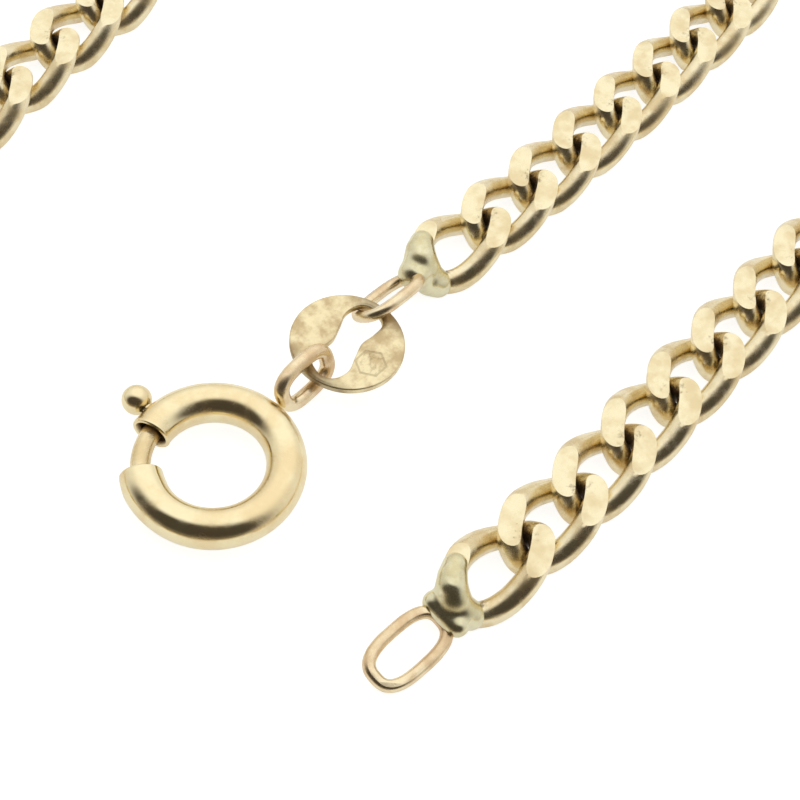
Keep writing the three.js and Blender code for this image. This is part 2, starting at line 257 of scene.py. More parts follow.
def build_wear_group():
    tree, given, out = new_tree(
        "ShaderNodeTree", "gold_wear",
        [("Place", "NodeSocketVector", None), ("Patch Size", "NodeSocketFloat", 1.6),
         ("Scratch Spacing", "NodeSocketFloat", 0.35)],
        [("Patches", "NodeSocketFloat"), ("Scratches", "NodeSocketFloat"),
         ("Dents", "NodeSocketFloat"), ("Height", "NodeSocketFloat")],
    )
    place = given["Place"]
    patch_scale = calc(tree, "DIVIDE", 1.0, given["Patch Size"])
    patches = ramp(tree, noise(tree, place, patch_scale, 5.0, 0.6), 0.38, 0.66)
    scratch_scale = calc(tree, "DIVIDE", 1.0, given["Scratch Spacing"])
    lines = []
    for turn, stretch in SCRATCH_DIRECTIONS:
        turned = drawn_out(tree, place, turn, (1.0, stretch, stretch * 0.6))
        streak = noise(tree, turned, scratch_scale, 2.0)
        from_line = calc(tree, "ABSOLUTE", calc(tree, "SUBTRACT", streak, 0.5))
        lines.append(ramp(tree, from_line, 0.0, 0.03, 1.0, 0.0))
    chance = noise(tree, place, calc(tree, "MULTIPLY", patch_scale, 2.3), 1.0)
    crossed = calc(tree, "MAXIMUM", calc(tree, "MAXIMUM", lines[0], lines[1]), lines[2])
    scratches = calc(tree, "MULTIPLY", crossed, ramp(tree, chance, 0.42, 0.7))
    pit = add(tree, "ShaderNodeTexVoronoi", {"Vector": place, "Scale": DENTS_PER_MM, "Randomness": 1.0})
    dents = ramp(tree, pit.outputs["Distance"], 0.03, 0.13, 1.0, 0.0)
    dented = calc(tree, "MULTIPLY", dents, -DENT_DEPTH)
    lowered = calc(tree, "MULTIPLY_ADD", scratches, -SCRATCH_DEPTH, dented)
    height = calc(tree, "MULTIPLY_ADD", noise(tree, place, 1.1, 2.0), RIPPLE_HEIGHT, lowered)
    for name, value in (("Patches", patches), ("Scratches", scratches), ("Dents", dents), ("Height", height)):
        tree.links.new(value, out[name])
    return tree


wear_group = build_wear_group()
print("wear group:", len(wear_group.nodes), "nodes")

# %% [markdown]
# ## Soil where links rub
#
# Where two links rub, the polish is gone and a trace of brown soil stays in the corner. The mask
# needs to know how far a point is from the link's two rub points, so it reads the point's place in
# the link's own frame, which the link's mesh carries as an attribute called `own_place`.

# %% Build the soil group
def build_soil_group():
    tree, given, out = new_tree(
        "ShaderNodeTree", "rub_soil",
        [("Place", "NodeSocketVector", None), ("Rub Distance", "NodeSocketFloat", PITCH / MM / 2),
         ("Reach", "NodeSocketFloat", 1.0), ("Grain", "NodeSocketVector", None)],
        [("Soil", "NodeSocketFloat")],
    )
    along, across, up = add(tree, "ShaderNodeSeparateXYZ", {0: given["Place"]}).outputs
    beyond = calc(tree, "SUBTRACT", calc(tree, "ABSOLUTE", along), given["Rub Distance"])
    offset = add(tree, "ShaderNodeCombineXYZ", {0: beyond, 1: across, 2: up}).outputs[0]
    near = calc(tree, "DIVIDE", vector_calc(tree, "LENGTH", offset), given["Reach"])
    speckle = noise(tree, given["Grain"], 3.2, 4.0, 0.65)
    ragged = calc(tree, "ADD", near, calc(tree, "MULTIPLY_ADD", speckle, 1.6, -0.8))
    tree.links.new(ramp(tree, ragged, 0.45, 1.0, 1.0, 0.0), out["Soil"])
    return tree


soil_group = build_soil_group()
print("soil group:", len(soil_group.nodes), "nodes")

# %% [markdown]
# ## The gold finishes
#
# All the parts are pale yellow gold, yet no two look the same: the ring is polished, the wire loops
# are a little redder, the plate is brushed, and the links are polished wire with facets cut flat by
# a diamond tool. One function makes them all from a few values, because they differ only in colour,
# gloss and how worn they are. Metal takes its colour from Base Color, so patches of tarnish are
# mixed in there, and scratches go to Roughness and Bump.

# %% Make a gold finish
def sRGB(red, green, blue):
    """A colour given as it looks on a screen, 0 to 255, as the linear colour that nodes need."""
    def linear(value):
        value /= 255
        return value / 12.92 if value <= 0.04045 else ((value + 0.055) / 1.055) ** 2.4
    return (linear(red), linear(green), linear(blue), 1.0)


# Brown soil for the rubs and the punched mark, also used as painted shade at the plate's ends and in the
# ring's bore.
BROWN_SOIL_AND_SHADE = sRGB(96, 66, 38)
# Painted highlight: the pale colour that the flat facets are mixed towards.
PAINTED_FACET_HIGHLIGHT = sRGB(246, 242, 206)
BUMP_DEPTH = 0.02 * MM

# The punched mark and the bolt ring's tube, in millimetres in their own frames.
PUNCH_PLACE = (-0.25, -2.15)
PUNCH_SIZE = 0.85
RING_DIAMETER = 11.0
TUBE = 2.44
BORE = 1.7
RING_RADIUS = (RING_DIAMETER - TUBE) / 2


def own_place(tree):
    return add(tree, "ShaderNodeAttribute", attribute_name="own_place").outputs["Vector"]


def plate_punch_and_end_shade(tree, place):
    """The plate's marks and shade: a punched plain hexagon on one lobe, and painted shade darkening it
    towards its two ends.
    """
    along, across, up = add(tree, "ShaderNodeSeparateXYZ", {0: place}).outputs
    near = calc(tree, "ABSOLUTE", calc(tree, "SUBTRACT", along, PUNCH_PLACE[0]))
    beside = calc(tree, "ABSOLUTE", calc(tree, "SUBTRACT", across, PUNCH_PLACE[1]))
    half_beside = calc(tree, "MULTIPLY", beside, 0.5)
    slanted = calc(tree, "MULTIPLY_ADD", near, math.sin(math.pi / 3), half_beside)
    from_middle = calc(tree, "MAXIMUM", slanted, beside)
    off_line = calc(tree, "ABSOLUTE", calc(tree, "SUBTRACT", from_middle, PUNCH_SIZE))
    on_top = calc(tree, "GREATER_THAN", up, 0.1)
    edge = ramp(tree, off_line, 0.03, 0.09, 1.0, 0.0)
    crumbs = noise(tree, place, 3.4, 4.0, 0.7)
    field = calc(tree, "LESS_THAN", from_middle, PUNCH_SIZE)
    worn = calc(tree, "MULTIPLY", ramp(tree, crumbs, 0.5, 0.62), field)
    pressed = calc(tree, "MAXIMUM", edge, calc(tree, "MULTIPLY", worn, 0.6))
    punch = calc(tree, "MULTIPLY", pressed, on_top)
    # Painted shade: the plate is darkened towards brown at both ends, near the loops.
    shade = ramp(tree, calc(tree, "ABSOLUTE", along), 2.1, 3.4, 0.0, 0.5)
    return punch, shade


def inside_tube(tree, place):
    """A mask of the bolt ring's bore: painted shade darkens it, and it is rougher where the polishing wheel
    never reached.
    """
    along, across, up = add(tree, "ShaderNodeSeparateXYZ", {0: place}).outputs
    flat = add(tree, "ShaderNodeCombineXYZ", {0: along, 1: across}).outputs[0]
    beside = calc(tree, "SUBTRACT", vector_calc(tree, "LENGTH", flat), RING_RADIUS)
    offset = add(tree, "ShaderNodeCombineXYZ", {0: beside, 1: up}).outputs[0]
    off_line = vector_calc(tree, "LENGTH", offset)
    return ramp(tree, off_line, BORE / 2 + 0.05, BORE / 2 + 0.2, 1.0, 0.0)


def gold_finish(name, pale, deep, gloss, worn, patch_size=1.6, scratch_spacing=0.35, bump=0.25,
                brushed=0.0, facets=False, stamped=False, hollow=False, soil_reach=0.0):
    """A metal: pale and deep are its clean and tarnished colour, gloss and worn its two roughnesses."""
    material = bpy.data.materials.new(name)
    material.use_nodes = True
    tree = material.node_tree
    shader = tree.nodes["Principled BSDF"]
    shader.inputs["Metallic"].default_value = 1.0
    place = own_place(tree)
    seed = add(tree, "ShaderNodeAttribute", attribute_name="link_seed").outputs["Fac"]
    shifted = add(tree, "ShaderNodeCombineXYZ", {0: seed, 1: seed, 2: seed}).outputs[0]
    grain = vector_calc(tree, "ADD", place, shifted)
    wear = add(tree, "ShaderNodeGroup", node_tree=wear_group)
    tree.links.new(grain, wear.inputs["Place"])
    wear.inputs["Patch Size"].default_value = patch_size
    wear.inputs["Scratch Spacing"].default_value = scratch_spacing
    colour = blend(tree, wear.outputs["Patches"], pale, deep)
    rough = calc(tree, "MULTIPLY_ADD", wear.outputs["Patches"], worn - gloss, gloss)
    rough = calc(tree, "MULTIPLY_ADD", wear.outputs["Scratches"], 0.12, rough)
    height = wear.outputs["Height"]
    if brushed:
        combed = drawn_out(tree, grain, (0.0, 0.0, 0.5), (1.2, 26.0, 8.0))
        lines = noise(tree, combed, 1.0, 4.0, 0.7)
        rough = calc(tree, "MULTIPLY_ADD", lines, 0.25 * brushed, rough)
        height = calc(tree, "MULTIPLY_ADD", lines, brushed, height)
        hollows = calc(tree, "MULTIPLY", ramp(tree, lines, 0.5, 0.7), 0.35 * brushed)
        colour = blend(tree, hollows, colour, deep)
    if facets:
        flat = add(tree, "ShaderNodeAttribute", attribute_name="cut_flat").outputs["Fac"]
        swept = drawn_out(tree, grain, (0.0, 0.0, 0.9), (0.8, 20.0, 1.0))
        cuts = noise(tree, swept, 0.8, 3.0)
        # Painted highlight: the flat facets are paled a little.
        colour = blend(tree, calc(tree, "MULTIPLY", flat, 0.15), colour, PAINTED_FACET_HIGHLIGHT)
        height = calc(tree, "MULTIPLY", height, calc(tree, "MULTIPLY_ADD", flat, -0.8, 1.0))
        height = calc(tree, "MULTIPLY_ADD", calc(tree, "MULTIPLY", cuts, flat), 0.12, height)
        rough = calc(tree, "MULTIPLY_ADD", flat, 0.06, rough)
    if stamped:
        punch, shade = plate_punch_and_end_shade(tree, place)
        height = calc(tree, "MULTIPLY_ADD", punch, -2.2, height)
        colour = blend(tree, calc(tree, "MULTIPLY", punch, 0.3), colour, BROWN_SOIL_AND_SHADE)
        # Painted shade: darker towards the plate's two ends.
        colour = blend(tree, shade, colour, BROWN_SOIL_AND_SHADE)
    if hollow:
        inside = inside_tube(tree, place)
        # Painted shade: the bore is darkened towards brown; the added roughness is the unpolished bore.
        colour = blend(tree, calc(tree, "MULTIPLY", inside, 0.85), colour, BROWN_SOIL_AND_SHADE)
        rough = calc(tree, "MULTIPLY_ADD", inside, 0.3, rough)
    if soil_reach:
        soil = add(tree, "ShaderNodeGroup", node_tree=soil_group)
        tree.links.new(place, soil.inputs["Place"])
        tree.links.new(grain, soil.inputs["Grain"])
        soil.inputs["Reach"].default_value = soil_reach
        colour = blend(tree, calc(tree, "MULTIPLY", soil.outputs[0], 0.8), colour, BROWN_SOIL_AND_SHADE)
        rough = calc(tree, "MULTIPLY_ADD", soil.outputs[0], 0.25, rough)
    tree.links.new(colour, shader.inputs["Base Color"])
    tree.links.new(rough, shader.inputs["Roughness"])
    relief = add(tree, "ShaderNodeBump", {"Height": height, "Strength": bump, "Distance": BUMP_DEPTH})
    tree.links.new(relief.outputs[0], shader.inputs["Normal"])
    return material


link_gold = gold_finish("link_gold", sRGB(241, 228, 191), sRGB(224, 203, 158), 0.19, 0.3,
                        facets=True, soil_reach=1.3)
ring_gold = gold_finish("ring_gold", sRGB(243, 230, 189), sRGB(235, 214, 168), 0.12, 0.22, patch_size=2.6,
                        scratch_spacing=0.6, bump=0.2, hollow=True)
loop_gold = gold_finish("loop_gold", sRGB(240, 224, 188), sRGB(222, 194, 154), 0.18, 0.3)
tongue_gold = gold_finish("tongue_gold", sRGB(240, 222, 180), sRGB(224, 202, 156), 0.16, 0.24, brushed=0.15)
plate_gold = gold_finish("plate_gold", sRGB(240, 226, 184), sRGB(206, 184, 142), 0.22, 0.34, patch_size=1.2,
                         bump=0.45, brushed=0.7, stamped=True)
solder_gold = gold_finish("solder_gold", sRGB(230, 224, 190), sRGB(212, 202, 160), 0.18, 0.28, patch_size=1.4,
                          bump=0.12)
spring_metal = gold_finish("spring_metal", sRGB(190, 186, 176), sRGB(150, 144, 132), 0.25, 0.4,
                           patch_size=0.5, brushed=0.4)
print("finishes:", [material.name for material in bpy.data.materials if material.use_nodes])

# %% [markdown]
# ## A wire loop with Geometry Nodes
#
# A curb link starts as an oval of round wire. The maker twists it about its length until its two
# ends lean opposite ways, and then cuts its top and bottom flat. The same steps make a good node
# tree: a circle is pushed out to a squared oval, swept with a round wire, twisted, and cut by a
# slab. With no twist and a tall slab the same tree makes the plain loops at the chain's ends.
# Two attributes stay on the mesh: `own_place`, the place in the loop's own frame in millimetres,
# and `cut_flat`, which is 1 on the faces that the slab cut.

# %% Build the wire loop tree
CUT_TOLERANCE = 0.0005
CRISP_EDGE = math.radians(30)


def signed_power(tree, value, power):
    size = calc(tree, "POWER", calc(tree, "ABSOLUTE", value), power)
    return calc(tree, "MULTIPLY", calc(tree, "SIGN", value), size)


def build_loop_tree():
    tree, given, out = new_tree(
        "GeometryNodeTree", "wire_loop",
        [("Geometry", "NodeSocketGeometry", None), ("Length", "NodeSocketFloat", 8.1),
         ("Width", "NodeSocketFloat", 5.4), ("Wire", "NodeSocketFloat", 1.5),
         ("Twist", "NodeSocketFloat", 0.84), ("Squareness", "NodeSocketFloat", 2.6),
         ("Half Height", "NodeSocketFloat", 1.1), ("Steps", "NodeSocketInt", 112),
         ("Sides", "NodeSocketInt", 28)],
        [("Geometry", "NodeSocketGeometry")],
    )
    radius = calc(tree, "DIVIDE", given["Wire"], 2.0)
    half_length = calc(tree, "SUBTRACT", calc(tree, "DIVIDE", given["Length"], 2.0), radius)
    half_width = calc(tree, "SUBTRACT", calc(tree, "DIVIDE", given["Width"], 2.0), radius)
    power = calc(tree, "DIVIDE", 2.0, given["Squareness"])
    circle = add(tree, "GeometryNodeCurvePrimitiveCircle", {"Resolution": given["Steps"], "Radius": 1.0})
    on_circle = tree.nodes.new("GeometryNodeInputPosition").outputs[0]
    x, y, _ = add(tree, "ShaderNodeSeparateXYZ", {0: on_circle}).outputs
    squared = add(tree, "ShaderNodeCombineXYZ", {
        0: calc(tree, "MULTIPLY", signed_power(tree, x, power), half_length),
        1: calc(tree, "MULTIPLY", signed_power(tree, y, power), half_width),
    }).outputs[0]
    oval = add(tree, "GeometryNodeSetPosition", {"Geometry": circle.outputs[0], "Position": squared})
    section = add(tree, "GeometryNodeCurvePrimitiveCircle", {
        "Resolution": given["Sides"], "Radius": radius,
    })
    wire = add(tree, "GeometryNodeCurveToMesh", {
        "Curve": oval.outputs[0], "Profile Curve": section.outputs[0],
    })
    here = tree.nodes.new("GeometryNodeInputPosition").outputs[0]
    share = calc(tree, "DIVIDE", add(tree, "ShaderNodeSeparateXYZ", {0: here}).outputs[0], half_length)
    limited = calc(tree, "MINIMUM", calc(tree, "MAXIMUM", share, -1.0), 1.0)
    angle = calc(tree, "MULTIPLY", calc(tree, "MULTIPLY", given["Twist"], -1.0), limited)
    turned = add(tree, "ShaderNodeVectorRotate", {"Vector": here, "Angle": angle}, rotation_type="X_AXIS")
    twisted = add(tree, "GeometryNodeSetPosition", {
        "Geometry": wire.outputs[0], "Position": turned.outputs[0],
    })
    slab_size = add(tree, "ShaderNodeCombineXYZ", {
        0: calc(tree, "MULTIPLY", given["Length"], 2.0), 1: calc(tree, "MULTIPLY", given["Width"], 2.0),
        2: calc(tree, "MULTIPLY", given["Half Height"], 2.0),
    })
    slab = add(tree, "GeometryNodeMeshCube", {"Size": slab_size.outputs[0]})
    cut = tree.nodes.new("GeometryNodeMeshBoolean")
    cut.operation = "INTERSECT"
    cut.solver = "EXACT"
    tree.links.new(twisted.outputs[0], cut.inputs[1])
    tree.links.new(slab.outputs[0], cut.inputs[1])
    position = tree.nodes.new("GeometryNodeInputPosition").outputs[0]
    height = calc(tree, "ABSOLUTE", add(tree, "ShaderNodeSeparateXYZ", {0: position}).outputs[2])
    cut_level = calc(tree, "SUBTRACT", given["Half Height"], CUT_TOLERANCE)
    is_flat = calc(tree, "GREATER_THAN", height, cut_level)
    placed = add(tree, "GeometryNodeStoreNamedAttribute", {
        "Geometry": cut.outputs[0], "Name": "own_place", "Value": position,
    }, data_type="FLOAT_VECTOR", domain="POINT")
    marked = add(tree, "GeometryNodeStoreNamedAttribute", {
        "Geometry": placed.outputs[0], "Name": "cut_flat", "Value": is_flat,
    }, data_type="FLOAT", domain="FACE")
    smooth = add(tree, "GeometryNodeSetShadeSmooth", {
        "Geometry": marked.outputs[0], "Shade Smooth": True,
    }, domain="FACE")
    edge = tree.nodes.new("GeometryNodeInputMeshEdgeAngle").outputs["Unsigned Angle"]
    crisp = add(tree, "GeometryNodeSetShadeSmooth", {
        "Geometry": smooth.outputs[0], "Selection": calc(tree, "GREATER_THAN", edge, CRISP_EDGE),
        "Shade Smooth": False,
    }, domain="EDGE")
    real = add(tree, "GeometryNodeRealizeInstances", {"Geometry": crisp.outputs[0]})
    tinted = add(tree, "GeometryNodeSetMaterial", {"Geometry": real.outputs[0], "Material": link_gold})
    tree.links.new(tinted.outputs[0], out["Geometry"])
    return tree


loop_tree = build_loop_tree()
print("loop tree inputs:", [item.name for item in loop_tree.interface.items_tree if item.in_out == "INPUT"])

# %% [markdown]
# A modifier keeps its values by the socket's identifier, not by its name, so a small helper looks
# the identifier up. It runs a tree on a mesh and gives back the finished mesh, with no modifier left.

# %% Run a tree
def run_tree(tree, mesh, values):
    """The mesh that a Geometry Nodes tree makes from another one."""
    holder = bpy.data.objects.new("holder", mesh)
    bpy.context.scene.collection.objects.link(holder)
    modifier = holder.modifiers.new("nodes", "NODES")
    modifier.node_group = tree
    sockets = {item.name: item.identifier for item in tree.interface.items_tree if item.in_out == "INPUT"}
    for name, value in values.items():
        modifier[sockets[name]] = value
    depsgraph = bpy.context.evaluated_depsgraph_get()
    made = bpy.data.meshes.new_from_object(
        holder.evaluated_get(depsgraph), preserve_all_data_layers=True, depsgraph=depsgraph,
    )
    holder.modifiers.remove(modifier)
    bpy.data.objects.remove(holder)
    return made


def wire_loop(length, width, wire, half_height, squareness, twist=0.0, steps=112, sides=28):
    return run_tree(loop_tree, bpy.data.meshes.new("seed"), {
        "Length": length, "Width": width, "Wire": wire, "Twist": math.radians(twist),
        "Squareness": squareness, "Half Height": half_height, "Steps": steps, "Sides": sides,
    })


LINK_WIRE = 1.62
LINK_ROOM = 3.3
LINK_LENGTH = PITCH / MM + LINK_ROOM
LINK_WIDTH = 5.4
LINK_TWIST = 48.0
LINK_SQUARENESS = 2.6
LINK_HALF_HEIGHT = (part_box(link_nodes[0])[1].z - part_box(link_nodes[0])[0].z) / 2 / MM
master_mesh = wire_loop(LINK_LENGTH, LINK_WIDTH, LINK_WIRE, LINK_HALF_HEIGHT, LINK_SQUARENESS, LINK_TWIST)
print("curb link:", len(master_mesh.vertices), "points,", len(master_mesh.polygons), "faces")

# %% [markdown]
# ## Setting the links on their rub points
#
# The finished link is one object, and a second tree puts copies of it on points. Each point has a
# heading and a seed: the heading turns the copy along the chain, and the seed leans it a degree or
# so and shifts its wear, because no two real links lie or wear alike. The copies are made real at
# the end, since each CAD body must carry its own mesh.

# %% Build the link setting tree
def build_setting_tree(master):
    tree, given, out = new_tree(
        "GeometryNodeTree", "links_on_rubs",
        [("Geometry", "NodeSocketGeometry", None), ("Scale", "NodeSocketFloat", MM),
         ("Lean", "NodeSocketFloat", 0.02), ("Seed", "NodeSocketInt", 7)],
        [("Geometry", "NodeSocketGeometry")],
    )
    link = add(tree, "GeometryNodeObjectInfo", {"Object": master}, transform_space="ORIGINAL")
    heading = add(tree, "GeometryNodeInputNamedAttribute", {"Name": "heading"}, data_type="FLOAT").outputs[0]
    number = add(tree, "GeometryNodeInputNamedAttribute", {"Name": "number"}, data_type="INT").outputs[0]
    leans = add(tree, "FunctionNodeRandomValue", {
        "Min": (-1.0, -0.5, 0.0), "Max": (1.0, 0.5, 0.0), "ID": number, "Seed": given["Seed"],
    }, data_type="FLOAT_VECTOR")
    lean = vector_calc(tree, "SCALE", leans.outputs[0])
    tree.links.new(given["Lean"], lean.node.inputs["Scale"])
    upright = add(tree, "ShaderNodeCombineXYZ", {2: heading}).outputs[0]
    turn = add(tree, "FunctionNodeEulerToRotation", {0: vector_calc(tree, "ADD", lean, upright)})
    placed = add(tree, "GeometryNodeInstanceOnPoints", {
        "Points": given["Geometry"], "Instance": link.outputs["Geometry"],
        "Rotation": turn.outputs[0], "Scale": given["Scale"],
    })
    shift = add(tree, "ShaderNodeMath", {0: number, 1: 7.3}, operation="MULTIPLY").outputs[0]
    seeded = add(tree, "GeometryNodeStoreNamedAttribute", {
        "Geometry": placed.outputs[0], "Name": "link_seed", "Value": shift,
    }, data_type="FLOAT", domain="INSTANCE")
    real = add(tree, "GeometryNodeRealizeInstances", {"Geometry": seeded.outputs[0]})
    tinted = add(tree, "GeometryNodeSetMaterial", {"Geometry": real.outputs[0], "Material": link_gold})
    tree.links.new(tinted.outputs[0], out["Geometry"])
    return tree


link_master = bpy.data.objects.new("link_master", master_mesh)
bpy.context.scene.collection.objects.link(link_master)
setting_tree = build_setting_tree(link_master)

# %% [markdown]
# Every piece is handed over in the same way: it becomes an object, moves with a CAD body, and stands for the
# CAD nodes that it hides.

# %% Hand a piece to the frame
def hand_over(name, mesh, body, nodes):
    piece = bpy.data.objects.new(name, mesh)
    bpy.context.scene.collection.objects.link(piece)
    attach(piece, body)
    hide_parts(*nodes)
    return piece


# %% Set the links
def set_links(node, rubs, first_number):
    """One mesh for a CAD node: a finished link between each two neighbouring rub points."""
    spans = list(zip(rubs, rubs[1:]))
    points = bpy.data.meshes.new(node + "_points")
    points.from_pydata([(start + end) / 2 for start, end in spans], [], [])
    headings = points.attributes.new("heading", "FLOAT", "POINT")
    numbers = points.attributes.new("number", "INT", "POINT")
    for index, (start, end) in enumerate(spans):
        headings.data[index].value = math.atan2(end.y - start.y, end.x - start.x)
        numbers.data[index].value = first_number + index
    return run_tree(setting_tree, points, {"Scale": MM, "Lean": math.radians(0.8), "Seed": 7})


number = 1
for node, rubs in link_rubs.items():
    hand_over("gold_" + node, set_links(node, rubs, number), node, [node])
    number += len(rubs) - 1
bpy.data.objects.remove(link_master)
print(f"set {number - 1} links on {len(link_rubs)} bodies")

# %% [markdown]
# ## Skinning a row of rings
#
# The bolt ring's parts are turned or drawn shapes. Each is a row of rings of points, joined by
# quads: `skin` makes the mesh, closed on itself or capped at both ends. The work is done in
# millimetres about the part's own centre, and `place_piece` then puts the mesh in its place.

# %% Skin and place a mesh
def skin(rings, closed=False):
    """Joins rings of equal length, in order, into one closed mesh."""
    sides = len(rings[0])
    count = len(rings)
    faces = []
    for ring in range(count if closed else count - 1):
        after = (ring + 1) % count
        here, there = ring * sides, after * sides
        for side in range(sides):
            beside = (side + 1) % sides
            faces.append((here + side, here + beside, there + beside, there + side))
    if not closed:
        faces.append(tuple(reversed(range(sides))))
        faces.append(tuple((count - 1) * sides + side for side in range(sides)))
    mesh = bpy.data.meshes.new("skin")
    mesh.from_pydata([point for ring in rings for point in ring], [], faces)
    return mesh


def volume_of(mesh):
    mesh.calc_loop_triangles()
    total = 0.0
    for triangle in mesh.loop_triangles:
        a, b, c = (mesh.vertices[index].co for index in triangle.vertices)
        total += a.dot(b.cross(c)) / 6
    return total


def place_piece(name, mesh, matrix, material, body, nodes, crisp=40):
    """Gives a mesh in millimetres its finish, turns its faces outwards and puts it in its place."""
    if volume_of(mesh) < 0:
        mesh.flip_normals()
    own = mesh.attributes.get("own_place") or mesh.attributes.new("own_place", "FLOAT_VECTOR", "POINT")
    places = np.empty(len(mesh.vertices) * 3, np.float32)
    mesh.vertices.foreach_get("co", places)
    own.data.foreach_set("vector", places)
    mesh.transform(matrix @ Matrix.Scale(MM, 4))
    mesh.materials.clear()
    mesh.materials.append(material)
    mesh.shade_smooth()
    mesh.set_sharp_from_angle(angle=math.radians(crisp))
    print(f"{name}: {len(mesh.polygons)} faces")
    return hand_over(name, mesh, body, nodes)


# %% [markdown]
# ## The bolt ring
#
# The clasp of a watch chain is a hollow ring with a gap. A sprung tongue slides inside it and
# closes the gap, and a small ball on the tongue lets a thumb draw it back. The tube is drawn as a
# walk: out along the outside, round the heel's lip, back along the bore and round the mouth's lip.
# Each step of the walk is an angle round the ring and a radius of the tube, so a swelling at the
# heel or a rolled lip at the mouth is only a different radius.

# %% Sizes of the bolt ring
MOUTH = 162.0
HEEL = 200.0
TONGUE_WIRE = 1.3
TONGUE_TIP = 204.0
TONGUE_TAIL = 100.0
TONGUE_TRAVEL = 32.0
BALL_ANGLE = 147.0
BALL = 1.85
BALL_REACH = 6.45
ring_place = Matrix.Translation(Vector((RING_CENTRE.x, RING_CENTRE.y, TUBE / 2 * MM)))


def outward_at(angle):
    """The direction away from the ring's centre, at an angle in degrees."""
    turn = math.radians(angle)
    return Vector((math.cos(turn), math.sin(turn), 0))


def round_of(sides):
    """The angles of a circle's points, in radians."""
    return [2 * math.pi * side / sides for side in range(sides)]


def ring_section(angle, radius, sides):
    """A ring of points round the tube's middle line, at an angle in degrees."""
    outward = outward_at(angle)
    middle = outward * RING_RADIUS
    return [middle + outward * (radius * math.cos(s)) + Vector((0, 0, radius * math.sin(s)))
            for s in round_of(sides)]


def arc_wire(stations, sides):
    """A wire along the ring's middle circle; stations are (angle, radius) pairs."""
    return skin([ring_section(angle, radius, sides) for angle, radius in stations])


def round_ended(start, end, radius, steps, end_steps=6):
    """Stations for a wire with round ends."""
    reach = math.degrees(radius / RING_RADIUS) * math.copysign(1, end - start)
    caps = [math.pi / 2 * (step + 0.15) / end_steps for step in range(end_steps)]
    first = [(start + reach * (1 - math.cos(turn)), radius * math.sin(turn)) for turn in caps]
    run = [(start + reach + (end - start - 2 * reach) * step / steps, radius) for step in range(steps + 1)]
    last = [(end - reach * (1 - math.cos(turn)), radius * math.sin(turn)) for turn in reversed(caps)]
    return first + run + last


# %% Draw the ring's tube
TONGUE_GAP = 0.03
HEEL_SWELLING = 0.075
WALK_STEPS = 150
BORE_STEPS = 60


def tube_walk():
    """The tube's (angle, radius) stations. A step of one `millimetre` is given in degrees."""
    outer = TUBE / 2
    bore = BORE / 2
    hole = TONGUE_WIRE / 2 + TONGUE_GAP
    low, high = HEEL - 360, MOUTH
    millimetre = math.degrees(1 / RING_RADIUS)
    walk = [(high - 0.03 * millimetre, outer * 1.005), (high - 0.1 * millimetre, outer * 1.02),
            (high - 0.2 * millimetre, outer * 1.015), (high - 0.28 * millimetre, outer * 0.995)]
    start, end = high - 0.5 * millimetre, low + 0.5 * millimetre
    for step in range(WALK_STEPS + 1):
        angle = start + (end - start) * (step / WALK_STEPS)
        swelling = HEEL_SWELLING * math.exp(-(((angle - low) / millimetre - 0.9) / 1.1) ** 2)
        walk.append((angle, outer * (1 + swelling)))
    walk += [(low + 0.16 * millimetre, outer * 1.06), (low + 0.05 * millimetre, outer * 1.05)]
    walk += [(low, outer * 1.01)]
    walk += [(low, hole + 0.06), (low + 0.05 * millimetre, hole), (low + 0.5 * millimetre, hole)]
    walk += [(low + 0.6 * millimetre, bore)]
    for step in range(BORE_STEPS + 1):
        walk.append((low + 0.7 * millimetre + (high - low - 0.9 * millimetre) * step / BORE_STEPS, bore))
    walk += [(high - 0.3 * millimetre, bore), (high - 0.05 * millimetre, bore + 0.14)]
    walk += [(high, bore + 0.18), (high, outer * 0.98)]
    return walk


SLOT_HALF_WIDTH = 0.5
SLOT_MARGIN = 7
SLOT_REACH = 7
SLOT_STEPS = 40


def slot_cutter():
    """The curved slot in the ring's outer side, where the ball's stem runs."""
    low, high = Vector((0, 0, -SLOT_HALF_WIDTH)), Vector((0, 0, SLOT_HALF_WIDTH))
    start = BALL_ANGLE - TONGUE_TRAVEL - SLOT_MARGIN
    span = TONGUE_TRAVEL + 2 * SLOT_MARGIN
    rings = []
    for step in range(SLOT_STEPS + 1):
        outward = outward_at(start + span * step / SLOT_STEPS)
        inner, outer = outward * RING_RADIUS, outward * SLOT_REACH
        rings.append([inner + low, outer + low, outer + high, inner + high])
    return skin(rings)


def cut_away(mesh, cutter):
    """A mesh with the cutter taken out of it."""
    for part in (mesh, cutter):
        if volume_of(part) < 0:
            part.flip_normals()
    body = bpy.data.objects.new("body", mesh)
    tool = bpy.data.objects.new("tool", cutter)
    for item in (body, tool):
        bpy.context.scene.collection.objects.link(item)
    cut = body.modifiers.new("cut", "BOOLEAN")
    cut.operation = "DIFFERENCE"
    cut.solver = "EXACT"
    cut.object = tool
    depsgraph = bpy.context.evaluated_depsgraph_get()
    made = bpy.data.meshes.new_from_object(body.evaluated_get(depsgraph))
    bpy.data.objects.remove(body)
    bpy.data.objects.remove(tool)
    return made


tube_mesh = skin([ring_section(angle, radius, 48) for angle, radius in tube_walk()], closed=True)
place_piece("gold_ring_tube", cut_away(tube_mesh, slot_cutter()), ring_place, ring_gold,
            "bolt_ring", ["bolt_ring_tube"])

# %% Draw the tongue, the ball, the spring and its stop
tongue_mesh = arc_wire(round_ended(TONGUE_TIP, TONGUE_TAIL, TONGUE_WIRE / 2 - 0.05, 70), 36)
place_piece("gold_tongue", tongue_mesh, ring_place, tongue_gold, "tongue", ["bolt_ring_tongue"])


def turned_part(profile, sides):
    """A part turned about the line from the ring's centre through the ball, from (reach, radius) pairs."""
    outward = outward_at(BALL_ANGLE)
    sideways = Vector((-outward.y, outward.x, 0))
    up = Vector((0, 0, 1))
    return skin([
        [outward * reach + (sideways * math.cos(s) + up * math.sin(s)) * radius for s in round_of(sides)]
        for reach, radius in profile
    ])


STEM = 0.35
NECK = 0.48


